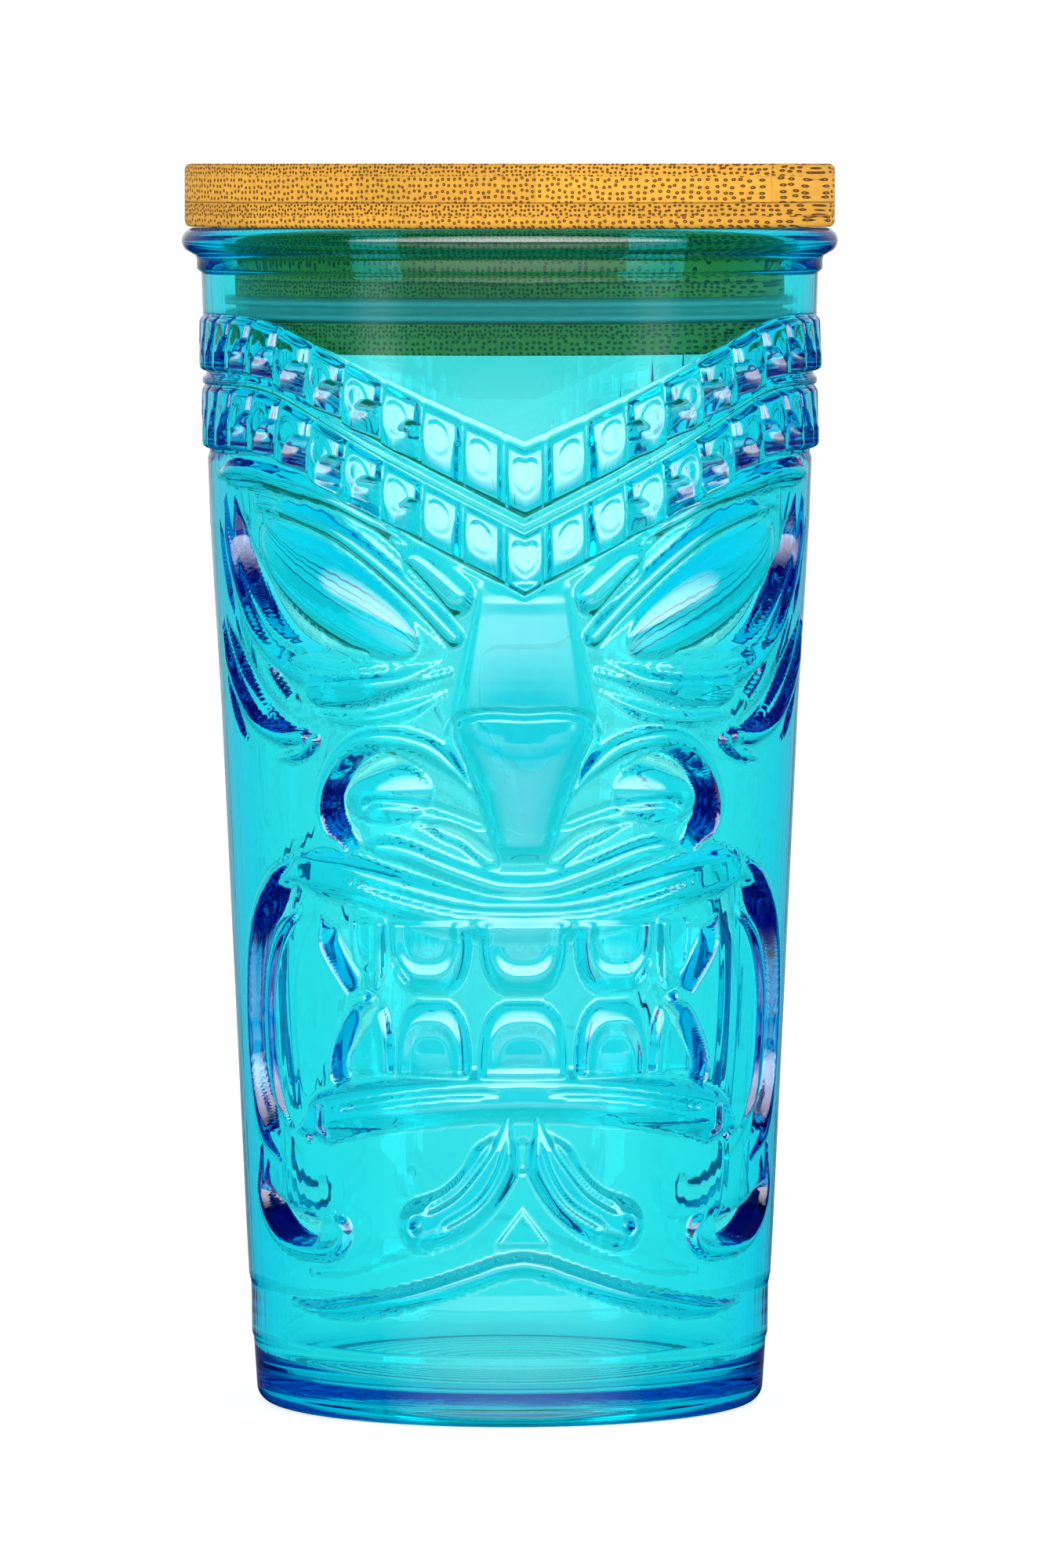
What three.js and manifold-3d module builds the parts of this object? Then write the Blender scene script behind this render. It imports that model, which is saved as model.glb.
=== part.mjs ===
// A moulded glass tumbler with a tiki face in relief on its front and back, and a laminated
// bamboo lid whose plug carries a silicone seal ring.
// Millimetres, +Z up, origin at the centre of the foot ring. The front face looks towards -Y.

import * as THREE from 'three';
import { mergeVertices } from 'three/addons/utils/BufferGeometryUtils.js';
import Module from 'manifold-3d';

const wasm = await Module();
wasm.setup();

// ---------------------------------------------------------------- driving dimensions

const GLASS_HEIGHT = 156.8; // foot ring to top of rim bead
const TOTAL_HEIGHT = 165.3; // foot ring to top of lid
const RIM_RADIUS = 43.7; // outside of the rim bead
const RIM_BEAD_CENTRE = 155.1; // height of the bead's widest line
const NECK_RADIUS = 41.7; // plain collar under the bead
const NECK_BOTTOM = 150.9;
const NECK_TOP = 153.4;
const FOOT_RADIUS = 32.6; // outer edge of the flat foot ring
const FOOT_INNER_RADIUS = 28.5; // inner edge of the flat foot ring
const PUSH_UP = 2.4; // height of the hollow under the base
const FLOOR_HEIGHT = 4.2; // inside floor
const FLOOR_ROUND = 3.5; // height of the rounding between wall and floor
const MOUTH_RADIUS = 38.7; // inside of the wall at the top
const FLOOR_RADIUS = 30.8; // inside of the wall where it meets the floor's rounding

// Plain outside wall, as [height, radius], before the relief is added.
const WALL = [
  [2.2, 33.9], [8.6, 34.3], [9.4, 34.5], [15.8, 34.65], [17.4, 34.95],
  [24, 35.3], [93, 38.5], [118, 40.0], [NECK_BOTTOM, 41.2],
];

const BEAD_COUNT = 48; // beads round each brow band
const BEAD_PITCH = 360 / BEAD_COUNT; // degrees
const SEGMENTS = 2 * BEAD_COUNT; // a column of points on each bead and each notch
const ARC = 38 * (Math.PI / 180); // arc length of one degree on the mean wall

const LID_RADIUS = 43.3;
const LID_SEAT_GAP = 0.3; // between the rim and the lid's disc
const PLY = 5.2; // thickness of one ply of slats
const PLUG_RADIUS = 36.6; // plug above the seal
const FLANGE_RADIUS = 36.9; // plug below the seal
const GROOVE_RADIUS = 34.2; // bottom of the seal groove
const GROOVE_BOTTOM = 144.5;
const GROOVE_TOP = 147.9;
const PLUG_BOTTOM = 140.4;
const EDGE_ROUND = 0.9; // rounded edge of the disc and the plug
const GLUE_LINE = 0.2; // gap between neighbouring slats and plies
const SLAT_WIDTH = 23;
const FIBRE_ANGLE = 23.5; // degrees the slats are turned from +Y towards +X
const SEAL_FIN_GAP = 0.3; // between the seal's fins and the glass

// ---------------------------------------------------------------- small helpers

const clamp01 = (t) => Math.min(1, Math.max(0, t));
const smoothstep = (t) => clamp01(t) ** 2 * (3 - 2 * clamp01(t));
const round = (t) => Math.sqrt(Math.max(0, 1 - t * t)); // a round hump over -1..1

/** Straight-line interpolation in a list of [x, y] points. */
function interpolate(points, x) {
  if (x <= points[0][0]) return points[0][1];
  for (let i = 1; i < points.length; i += 1) {
    const [x0, y0] = points[i - 1];
    const [x1, y1] = points[i];
    if (x <= x1) return y0 + ((y1 - y0) * (x - x0)) / (x1 - x0);
  }
  return points[points.length - 1][1];
}

function meshFromGrid(positions, index) {
  const geometry = new THREE.BufferGeometry();
  geometry.setAttribute('position', new THREE.Float32BufferAttribute(positions, 3));
  geometry.setIndex(index);
  geometry.computeVertexNormals();
  return geometry;
}

/** A closed geometry as a manifold solid. */
function toSolid(geometry) {
  const bare = geometry.clone();
  bare.deleteAttribute('normal');
  bare.deleteAttribute('uv');
  const merged = mergeVertices(bare, 1e-4);
  const mesh = new wasm.Mesh({
    numProp: 3,
    vertProperties: new Float32Array(merged.attributes.position.array),
    triVerts: new Uint32Array(merged.index.array),
  });
  mesh.merge();
  return new wasm.Manifold(mesh);
}

function toGeometry(solid) {
  const mesh = solid.getMesh();
  return meshFromGrid(mesh.vertProperties, Array.from(mesh.triVerts));
}

/** A solid turned round the Z axis from a closed outline of [radius, height] points. */
function turned(outline, segments) {
  const points = outline.map(([radius, height]) => new THREE.Vector2(radius, height));
  return new THREE.LatheGeometry(points, segments).rotateX(Math.PI / 2);
}

// ---------------------------------------------------------------- face relief

/** Height of a brow line: a straight chevron that levels out round the side. */
function browLine(sideHeight, slope, shoulder) {
  const softness = 4;
  return (angle) => sideHeight - slope * softness * Math.log1p(Math.exp((shoulder - angle) / softness));
}

const LOWER_BAND_BOTTOM = browLine(127.4, 0.36, 50);
const LOWER_BAND_TOP = browLine(136.0, 0.357, 52);
const UPPER_BAND_BOTTOM = browLine(137.7, 0.352, 52);
const UPPER_BAND_TOP = browLine(145.2, 0.323, 52);
const BEAD_HEIGHT = 1.1;
const NOTCH_HEIGHT = 0.5;

// Each stroke is a ridge (or, with a negative height, a groove) along a smooth line of
// [degrees from the middle of the face, height] points. The face is symmetric.
const STROKES = [
  { name: 'eyebrow', line: [[72, 124], [52, 124], [34, 118.5], [20, 112.5], [12, 108.5]], half: 2.6, height: 0.9 },
  {
    name: 'eyelid', closed: true, half: 2.0, height: 0.8,
    line: [[14, 101], [24, 108], [38, 115.5], [54, 120], [57, 112], [50, 102.5], [34, 96.5], [20, 97.5]],
  },
  { name: 'inner crescent', line: [[65, 118], [64.5, 110], [57, 102], [46, 95]], half: 2.2, height: -0.7 },
  { name: 'outer crescent', line: [[78, 120], [76.6, 110], [68, 100], [55, 94], [45, 90]], half: 2.2, height: -0.6 },
  { name: 'nose wing', line: [[36, 90], [42, 83], [37, 77], [28, 77]], half: 2.2, height: -0.8 },
  { name: 'lip crease', line: [[0, 73], [14, 75], [28, 80]], half: 2.0, height: -0.7 },
  {
    name: 'lips', half: 3.2, height: 1.1,
    line: [[0, 66], [20, 68.5], [42, 72.5], [56, 70], [65, 60], [66, 48], [60, 40], [45, 39.5], [22, 42], [0, 44.5]],
  },
  { name: 'petal', line: [[3, 39], [12, 32], [20, 28]], half: 3.4, height: 1.0 },
  { name: 'cheek crescent', line: [[67, 33], [64, 27], [50, 25.5], [40, 26]], half: 2.0, height: -0.7 },
  { name: 'chin', line: [[0, 22], [25, 19.5], [42, 16.5], [58, 14.5]], half: 1.8, height: 0.6 },
];

/** Points along a stroke in unrolled millimetres, as a smooth curve. */
function strokePath({ line, closed = false }) {
  const corners = line.map(([angle, height]) => new THREE.Vector3(angle * ARC, height, 0));
  return new THREE.CatmullRomCurve3(corners, closed, 'centripetal').getPoints(8 * line.length);
}

const STROKE_PATHS = STROKES.map((stroke) => ({ ...stroke, path: strokePath(stroke) }));

function distanceToPath(path, u, z) {
  let nearest = Infinity;
  for (let i = 1; i < path.length; i += 1) {
    const du = path[i].x - path[i - 1].x;
    const dz = path[i].y - path[i - 1].y;
    const along = clamp01(((u - path[i - 1].x) * du + (z - path[i - 1].y) * dz) / (du * du + dz * dz));
    nearest = Math.min(nearest, Math.hypot(u - path[i - 1].x - along * du, z - path[i - 1].y - along * dz));
  }
  return nearest;
}

/** An oval dome at [angle, height], turned so that it climbs by `climb` mm per mm outwards. */
function dome(u, z, { angle, height, halfLength, halfWidth, climb = 0, rise }) {
  const du = u - angle * ARC;
  const dz = z - height - climb * du;
  return rise * round(Math.hypot(du / halfLength, dz / halfWidth));
}

const EYEBALL = { angle: 34.6, height: 109.5, halfLength: 10.5, halfWidth: 6, climb: 0.45, rise: 1.7 };
const NOSE_WING = { angle: 26, height: 84, halfLength: 8, halfWidth: 6.5, rise: 1.5 };
const NOSE_TOP = 109;
const NOSE_TIP = 74;
const NOSE_RISE = 2.2;
const TEETH_HALF_ANGLE = 43;
const TOOTH_PITCH = 17;
const TOOTH_RISE = 1.0;
const TEETH_ROWS = [[57.6, 64], [49, 56]]; // [bottom, top] of the upper and lower teeth

function noseRelief(angle, z) {
  if (z > NOSE_TOP || z < NOSE_TIP) return 0;
  const down = (NOSE_TOP - z) / (NOSE_TOP - NOSE_TIP);
  const halfAngle = 9 + 7 * smoothstep(down * 1.6);
  const tip = smoothstep((z - NOSE_TIP) / 5);
  return NOSE_RISE * smoothstep(down * 2.5 + 0.3) * tip * round(Math.min(1, angle / halfAngle));
}

function teethRelief(angle, z) {
  if (angle > TEETH_HALF_ANGLE) return 0;
  const across = ((angle + TOOTH_PITCH / 2) % TOOTH_PITCH) / (TOOTH_PITCH / 2) - 1;
  const row = TEETH_ROWS.find(([bottom, top]) => z > bottom && z < top);
  if (!row) return 0;
  const up = (2 * (z - row[0])) / (row[1] - row[0]) - 1;
  return TOOTH_RISE * round(across) * round(up);
}

/** Relief of the bands and the face at `angle` degrees from the middle of the face. */
function relief(angle, z) {
  for (const [bottom, top] of [[LOWER_BAND_BOTTOM, LOWER_BAND_TOP], [UPPER_BAND_BOTTOM, UPPER_BAND_TOP]]) {
    const low = bottom(angle);
    const high = top(angle);
    if (z > low + 0.05 && z < high - 0.05) {
      const inNotch = Math.abs(Math.round((2 * angle) / BEAD_PITCH)) % 2 === 1;
      return inNotch ? NOTCH_HEIGHT : BEAD_HEIGHT;
    }
  }
  if (z >= LOWER_BAND_BOTTOM(angle) - 0.05) return 0;
  const u = angle * ARC;
  const strokes = STROKE_PATHS.map(({ path, half, height }) => {
    const distance = distanceToPath(path, u, z);
    return distance < half ? height * smoothstep(1 - distance / half) : 0;
  });
  const raised = Math.max(
    0, ...strokes, dome(u, z, EYEBALL), dome(u, z, NOSE_WING), noseRelief(angle, z), teethRelief(angle, z),
  );
  return raised + Math.min(0, ...strokes);
}

/** Degrees from the middle of the nearer face, front or back. */
function faceAngle(turn) {
  const fromFront = Math.abs(((turn + 270) % 360) - 180);
  return Math.min(180 - fromFront, fromFront);
}

// ---------------------------------------------------------------- glass tumbler

// Key lines of the outside wall from the foot up. Rows between two key lines are spread at
// the given shares, so that the rows follow the brow bands' slanted edges.
const level = (height) => () => height;
const evenly = (count) => Array.from({ length: count }, (_, i) => (i + 1) / count);
const BAND_ROWS = [0.1, 0.5, 0.9, 1];
const WALL_ROWS = [
  { to: level(8.6), shares: [1] },
  { to: level(9.4), shares: [1] },
  { to: level(15.8), shares: evenly(2) },
  { to: level(17.4), shares: [1] },
  { to: level(24), shares: evenly(2) },
  { to: level(45), shares: evenly(5) },
  { to: level(68), shares: evenly(5) },
  { to: level(92), shares: evenly(5) },
  { to: LOWER_BAND_BOTTOM, shares: evenly(6) },
  { to: LOWER_BAND_TOP, shares: BAND_ROWS },
  { to: UPPER_BAND_BOTTOM, shares: [1] },
  { to: UPPER_BAND_TOP, shares: BAND_ROWS },
  { to: level(NECK_BOTTOM), shares: evenly(2) },
];

/** Plain rings above and inside the wall, as [radius, height]. */
function rimAndInside() {
  const beadRadius = GLASS_HEIGHT - RIM_BEAD_CENTRE;
  const rings = [[NECK_RADIUS, NECK_BOTTOM + 0.3], [NECK_RADIUS, NECK_TOP]];
  for (const degrees of [-35, 0, 35, 75]) {
    const t = (degrees * Math.PI) / 180;
    rings.push([RIM_RADIUS - beadRadius + beadRadius * Math.cos(t), RIM_BEAD_CENTRE + beadRadius * Math.sin(t)]);
  }
  rings.push([MOUTH_RADIUS + 1.4, GLASS_HEIGHT], [MOUTH_RADIUS + 0.3, GLASS_HEIGHT - 1], [MOUTH_RADIUS, GLASS_HEIGHT - 3]);
  const slope = (MOUTH_RADIUS - FLOOR_RADIUS) / (GLASS_HEIGHT - 3 - (FLOOR_HEIGHT + FLOOR_ROUND));
  for (const height of [110, 62, FLOOR_HEIGHT + FLOOR_ROUND]) {
    rings.push([FLOOR_RADIUS + slope * (height - FLOOR_HEIGHT - FLOOR_ROUND), height]);
  }
  rings.push([FLOOR_RADIUS - 1.5, FLOOR_HEIGHT + 1.6], [FLOOR_RADIUS - 5, FLOOR_HEIGHT]);
  return rings;
}

function glassTumbler() {
  const positions = [0, 0, PUSH_UP]; // first point: middle of the hollow under the base
  const ring = (radiusAt, heightAt) => {
    for (let i = 0; i < SEGMENTS; i += 1) {
      const turn = (360 * i) / SEGMENTS;
      const angle = faceAngle(turn);
      const radius = radiusAt(angle);
      const radians = (turn * Math.PI) / 180;
      positions.push(radius * Math.cos(radians), radius * Math.sin(radians), heightAt(angle));
    }
  };
  const plain = (radius, height) => ring(level(radius), level(height));

  plain(FOOT_INNER_RADIUS - 3, PUSH_UP);
  plain(FOOT_INNER_RADIUS, 0);
  plain(FOOT_RADIUS, 0);
  plain(FOOT_RADIUS + 0.9, 0.7);
  plain(WALL[0][1], WALL[0][0]);
  let from = level(WALL[0][0]);
  for (const { to, shares } of WALL_ROWS) {
    const start = from;
    for (const share of shares) {
      const heightAt = (angle) => start(angle) + share * (to(angle) - start(angle));
      ring((angle) => interpolate(WALL, heightAt(angle)) + relief(angle, heightAt(angle)), heightAt);
    }
    from = to;
  }
  rimAndInside().forEach(([radius, height]) => plain(radius, height));

  const rings = (positions.length / 3 - 1) / SEGMENTS;
  const point = (row, column) => 1 + row * SEGMENTS + (column % SEGMENTS);
  const last = positions.length / 3; // last point: middle of the inside floor
  positions.push(0, 0, FLOOR_HEIGHT);
  const index = [];
  for (let column = 0; column < SEGMENTS; column += 1) {
    index.push(0, point(0, column + 1), point(0, column));
    index.push(last, point(rings - 1, column), point(rings - 1, column + 1));
    for (let row = 0; row + 1 < rings; row += 1) {
      const [a, b] = [point(row, column), point(row, column + 1)];
      const [c, d] = [point(row + 1, column), point(row + 1, column + 1)];
      index.push(a, b, d, a, d, c);
    }
  }
  return meshFromGrid(positions, index);
}

// ---------------------------------------------------------------- bamboo lid

const LID_BOTTOM = GLASS_HEIGHT + LID_SEAT_GAP; // underside of the disc, over the rim
const LID_SEGMENTS = 60;

// From the top down. `joint` is one joint line between two slats, in mm across the slats.
const LID_PLIES = [
  {
    name: 'disc_slat', radius: LID_RADIUS, joint: -4.6,
    outline: (top, bottom) => [
      [0, bottom], [LID_RADIUS, bottom], [LID_RADIUS, top - EDGE_ROUND], [LID_RADIUS - EDGE_ROUND, top], [0, top],
    ],
  },
  {
    name: 'step_slat', radius: LID_RADIUS, joint: 0.4,
    outline: (top, bottom) => [
      [0, bottom], [PLUG_RADIUS, bottom], [PLUG_RADIUS, LID_BOTTOM],
      [LID_RADIUS - EDGE_ROUND, LID_BOTTOM], [LID_RADIUS, LID_BOTTOM + EDGE_ROUND], [LID_RADIUS, top], [0, top],
    ],
  },
  {
    name: 'plug_slat', radius: PLUG_RADIUS, joint: 7,
    outline: (top, bottom) => [[0, bottom], [PLUG_RADIUS, bottom], [PLUG_RADIUS, top], [0, top]],
  },
  {
    name: 'groove_slat', radius: PLUG_RADIUS, joint: -3,
    outline: (top, bottom) => [
      [0, bottom], [GROOVE_RADIUS, bottom], [GROOVE_RADIUS, GROOVE_TOP], [PLUG_RADIUS, GROOVE_TOP], [PLUG_RADIUS, top],
      [0, top],
    ],
  },
  {
    name: 'flange_slat', radius: FLANGE_RADIUS, joint: 4,
    outline: (top) => [
      [0, PLUG_BOTTOM], [FLANGE_RADIUS - EDGE_ROUND, PLUG_BOTTOM], [FLANGE_RADIUS, PLUG_BOTTOM + EDGE_ROUND],
      [FLANGE_RADIUS, top], [0, top],
    ],
  },
];

/** Joint lines of a ply and its two edges, in mm across the slats. */
function slatEdges({ joint, radius }) {
  const first = joint - SLAT_WIDTH * Math.floor((joint + radius) / SLAT_WIDTH);
  const edges = [-radius - 1];
  for (let line = first; line < radius; line += SLAT_WIDTH) edges.push(line);
  return [...edges, radius + 1];
}

/** The part of a ply between two joint lines, `low` and `high` mm across the slats. */
function slat(plySolid, low, high, z) {
  const reach = 2 * LID_RADIUS;
  const block = new THREE.BoxGeometry(high - low, 2 * reach, 2 * reach).translate((low + high) / 2, 0, z);
  return toGeometry(plySolid.intersect(toSolid(block)));
}

function bambooSlats(material) {
  const group = new THREE.Group();
  group.rotation.z = (-FIBRE_ANGLE * Math.PI) / 180;
  LID_PLIES.forEach((layer, ply) => {
    const top = TOTAL_HEIGHT - ply * PLY - (ply > 0 ? GLUE_LINE / 2 : 0);
    const bottom = TOTAL_HEIGHT - (ply + 1) * PLY + GLUE_LINE / 2;
    const plySolid = toSolid(turned(layer.outline(top, bottom), LID_SEGMENTS));
    const edges = slatEdges(layer);
    for (let i = 0; i + 1 < edges.length; i += 1) {
      const geometry = slat(plySolid, edges[i] + GLUE_LINE / 2, edges[i + 1] - GLUE_LINE / 2, top);
      const mesh = new THREE.Mesh(geometry, material);
      mesh.name = `${layer.name}_${i + 1}`;
      group.add(mesh);
    }
  });
  return group;
}

// ---------------------------------------------------------------- seal ring

/** Inside radius of the glass at a height in the mouth. */
function mouthRadius(height) {
  const slope = (MOUTH_RADIUS - FLOOR_RADIUS) / (GLASS_HEIGHT - 3 - (FLOOR_HEIGHT + FLOOR_ROUND));
  return MOUTH_RADIUS - slope * (GLASS_HEIGHT - 3 - height);
}

function sealRing() {
  const clearance = 0.3; // to the groove's walls
  const inner = GROOVE_RADIUS + clearance;
  const body = PLUG_RADIUS + 0.2;
  const low = GROOVE_BOTTOM + clearance;
  const high = GROOVE_TOP - clearance;
  const middle = (low + high) / 2;
  const fin = mouthRadius(middle) - SEAL_FIN_GAP;
  return turned(
    [[inner, low], [fin, low + 0.1], [fin, low + 0.6], [body, middle - 0.3], [body, middle + 0.3],
      [fin, high - 0.6], [fin, high - 0.1], [inner, high], [inner, low]],
    LID_SEGMENTS,
  );
}

// ---------------------------------------------------------------- materials and assembly

const glass = new THREE.MeshStandardMaterial({ color: 0x35c9d2, roughness: 0.03, metalness: 0 });
const bamboo = new THREE.MeshStandardMaterial({ color: 0xdba252, roughness: 0.55, metalness: 0 });
const silicone = new THREE.MeshStandardMaterial({ color: 0xe4ebe6, roughness: 0.3, metalness: 0 });

const group = new THREE.Group();

const tumbler = new THREE.Mesh(glassTumbler(), glass);
tumbler.name = 'glass_tumbler';
group.add(tumbler);

const seal = new THREE.Mesh(sealRing(), silicone);
seal.name = 'lid_seal_ring';
group.add(seal);

group.add(bambooSlats(bamboo));

export default group;
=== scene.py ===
"""A moulded aqua glass tumbler with a tiki face, closed by a laminated bamboo lid.

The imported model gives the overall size. Sizes below are in millimetres unless they say
otherwise, and angles in degrees. The front face looks towards -Y.
"""
import math

import bmesh
import bpy
import numpy as np
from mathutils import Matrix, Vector


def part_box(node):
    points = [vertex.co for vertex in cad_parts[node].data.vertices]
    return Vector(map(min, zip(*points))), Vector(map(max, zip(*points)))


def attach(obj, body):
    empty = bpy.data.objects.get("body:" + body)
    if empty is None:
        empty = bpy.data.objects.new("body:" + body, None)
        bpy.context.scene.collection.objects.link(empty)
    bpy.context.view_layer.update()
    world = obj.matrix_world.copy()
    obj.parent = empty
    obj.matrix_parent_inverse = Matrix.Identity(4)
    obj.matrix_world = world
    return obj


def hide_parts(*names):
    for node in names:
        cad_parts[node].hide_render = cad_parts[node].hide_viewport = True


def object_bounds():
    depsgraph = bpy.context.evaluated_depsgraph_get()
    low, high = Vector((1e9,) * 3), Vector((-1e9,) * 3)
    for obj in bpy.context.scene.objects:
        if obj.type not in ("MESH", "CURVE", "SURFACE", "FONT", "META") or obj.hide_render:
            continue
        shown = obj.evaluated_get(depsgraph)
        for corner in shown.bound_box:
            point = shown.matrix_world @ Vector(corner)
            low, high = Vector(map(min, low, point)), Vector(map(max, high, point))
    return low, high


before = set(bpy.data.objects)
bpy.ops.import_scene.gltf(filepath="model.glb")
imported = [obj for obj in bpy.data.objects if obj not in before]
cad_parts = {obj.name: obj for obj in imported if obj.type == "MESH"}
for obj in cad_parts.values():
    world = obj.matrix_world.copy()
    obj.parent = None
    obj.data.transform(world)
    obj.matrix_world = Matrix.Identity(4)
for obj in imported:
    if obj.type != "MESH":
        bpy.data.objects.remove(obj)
cad_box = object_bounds()

MM = 0.001

# ------------------------------------------------------------------ driving sizes

GLASS_LOW, GLASS_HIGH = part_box("glass_tumbler")
_, LID_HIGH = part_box("disc_slat_3")

GLASS_HEIGHT = (GLASS_HIGH[2] - GLASS_LOW[2]) / MM
RIM_RADIUS = GLASS_HIGH[0] / MM
LID_TOP = LID_HIGH[2] / MM

RIM_BEAD = 1.7  # radius of the bead round the rim
NECK_RADIUS = 41.7
NECK_BOTTOM = 150.9
NECK_TOP = 153.2
MOUTH_RADIUS = 38.7
MOUTH_ROUND = 1.3
MOUTH_BOTTOM = GLASS_HEIGHT - 3  # where the tapered inside starts
FLOOR_RADIUS = 30.8
FLOOR_HEIGHT = 4.2
FLOOR_ROUND = 3.5
FLOOR_TOP = FLOOR_HEIGHT + FLOOR_ROUND
FLOOR_CROWN = 0.25  # how much higher the middle of the floor is
FOOT_RADIUS = 32.4
FOOT_INNER_RADIUS = 28.7
FOOT_EDGE = 0.5
HOLLOW_RADIUS = FOOT_INNER_RADIUS - 0.6
PUSH_UP = 2.4  # depth of the hollow under the base
RIDGE_PITCH = 2.8
RIDGE_DEPTH = 0.35
RIPPLE_DEPTH = 0.0012

# Plain outside wall, as (height, radius), before the relief.
WALL = [
    (2.2, 33.9), (8.4, 34.3), (9.2, 34.55), (15.8, 34.65), (17.2, 34.95),
    (24, 35.3), (93, 38.5), (118, 40.0), (NECK_BOTTOM, 41.1),
]

COLUMNS = 1200  # points round the glass
MEAN_RADIUS = 38
ARC = MEAN_RADIUS * math.pi / 180  # millimetres per degree on the mean wall
BEADS = 48  # blocks in each brow band, all round
BEAD_PITCH = 360 / BEADS


# ------------------------------------------------------------------ small helpers

def smoothstep(t):
    t = np.clip(t, 0, 1)
    return t * t * (3 - 2 * t)


def bevel(t):
    """A rounded slope from 0 at t = 0 to 1 at t = 1."""
    return np.sin(np.clip(t, 0, 1) * math.pi / 2)


def spline(points, per_span=10):
    """Points along a smooth curve through the given ones."""
    p = np.array(points, float)
    p = np.vstack([2 * p[0] - p[1], p, 2 * p[-1] - p[-2]])
    t = np.linspace(0, 1, per_span, endpoint=False)[:, None]
    out = []
    for a, b, c, d in zip(p, p[1:], p[2:], p[3:]):
        out.append(0.5 * (2 * b + (c - a) * t + (2 * a - 5 * b + 4 * c - d) * t**2
                          + (3 * b - a - 3 * c + d) * t**3))
    return np.vstack(out + [p[-2:-1]])


def distance_along(path, u, z, reach):
    """Distance from a path in the unrolled wall, and how far along it (0 to 1) the nearest point is.

    Only points within `reach` of the path are measured; the others stay infinitely far.
    """
    near = np.full(u.shape, np.inf)
    place = np.zeros(u.shape)
    low, high = path.min(0) - reach, path.max(0) + reach
    box = (u > low[0]) & (u < high[0]) & (z > low[1]) & (z < high[1])
    ub, zb = u[box], z[box]
    best, where = np.full(ub.shape, np.inf), np.zeros(ub.shape)
    lengths = np.hypot(*np.diff(path, axis=0).T)
    start = np.concatenate([[0], np.cumsum(lengths)])
    for i, length in enumerate(lengths):
        if length < 1e-9:
            continue
        du, dz = path[i + 1] - path[i]
        t = np.clip(((ub - path[i, 0]) * du + (zb - path[i, 1]) * dz) / length**2, 0, 1)
        d = np.hypot(ub - path[i, 0] - t * du, zb - path[i, 1] - t * dz)
        closer = d < best
        best = np.where(closer, d, best)
        where = np.where(closer, (start[i] + t * length) / start[-1], where)
    near[box], place[box] = best, where
    return near, place


def make_object(name, mesh, material, body, replaces):
    """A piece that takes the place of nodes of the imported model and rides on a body."""
    obj = bpy.data.objects.new(name, mesh)
    bpy.context.scene.collection.objects.link(obj)
    obj.data.materials.append(material)
    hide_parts(*replaces)
    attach(obj, body)


class ShaderGraph:
    """Short ways to add and link the nodes of a material or a world."""

    def __init__(self, owner):
        owner.use_nodes = True
        self.nodes = owner.node_tree.nodes
        self.links = owner.node_tree.links

    def node(self, kind, **settings):
        new = self.nodes.new(kind)
        for key, value in settings.items():
            setattr(new, key, value)
        return new

    def feed(self, sockets, values):
        """Set each socket to a number or a colour, or link it to another node's output."""
        for socket, value in zip(sockets, values):
            if isinstance(value, (int, float)):
                socket.default_value = value
            elif isinstance(value, tuple):
                socket.default_value = (*value, 1)
            else:
                self.links.new(value, socket)

    def feed_named(self, node, values):
        """The same for inputs of a node, as {name of the socket: value}."""
        self.feed([node.inputs[name] for name in values], values.values())

    def calculate(self, operation, *values):
        new = self.node("ShaderNodeMath", operation=operation)
        self.feed(new.inputs, values)
        return new.outputs[0]

    def greys(self, value, stops):
        """A grey level that follows `value` through (place from 0 to 1, level) stops."""
        ramp = self.node("ShaderNodeValToRGB")
        elements = ramp.color_ramp.elements
        while len(elements) < len(stops):
            elements.new(0.5)
        for element, (place, grey) in zip(elements, stops):
            element.position = place
            element.color = (grey, grey, grey, 1)
        self.links.new(value, ramp.inputs[0])
        return ramp.outputs[0]


def principled(name):
    """A new material, its graph and its Principled shader."""
    material = bpy.data.materials.new(name)
    graph = ShaderGraph(material)
    return material, graph, graph.nodes["Principled BSDF"]


# ------------------------------------------------------------------ face relief

def brow_line(side_height, slope, shoulder, softness=4.0):
    """Height of a brow line: a straight chevron that levels out round the side."""
    def height(angle):
        return side_height - slope * softness * np.logaddexp(0, (shoulder - angle) / softness)
    return height


LOWER_BOTTOM = brow_line(127.4, 0.360, 50)
LOWER_TOP = brow_line(136.0, 0.357, 52)
UPPER_BOTTOM = brow_line(137.7, 0.352, 52)
UPPER_TOP = brow_line(145.2, 0.323, 52)

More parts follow.
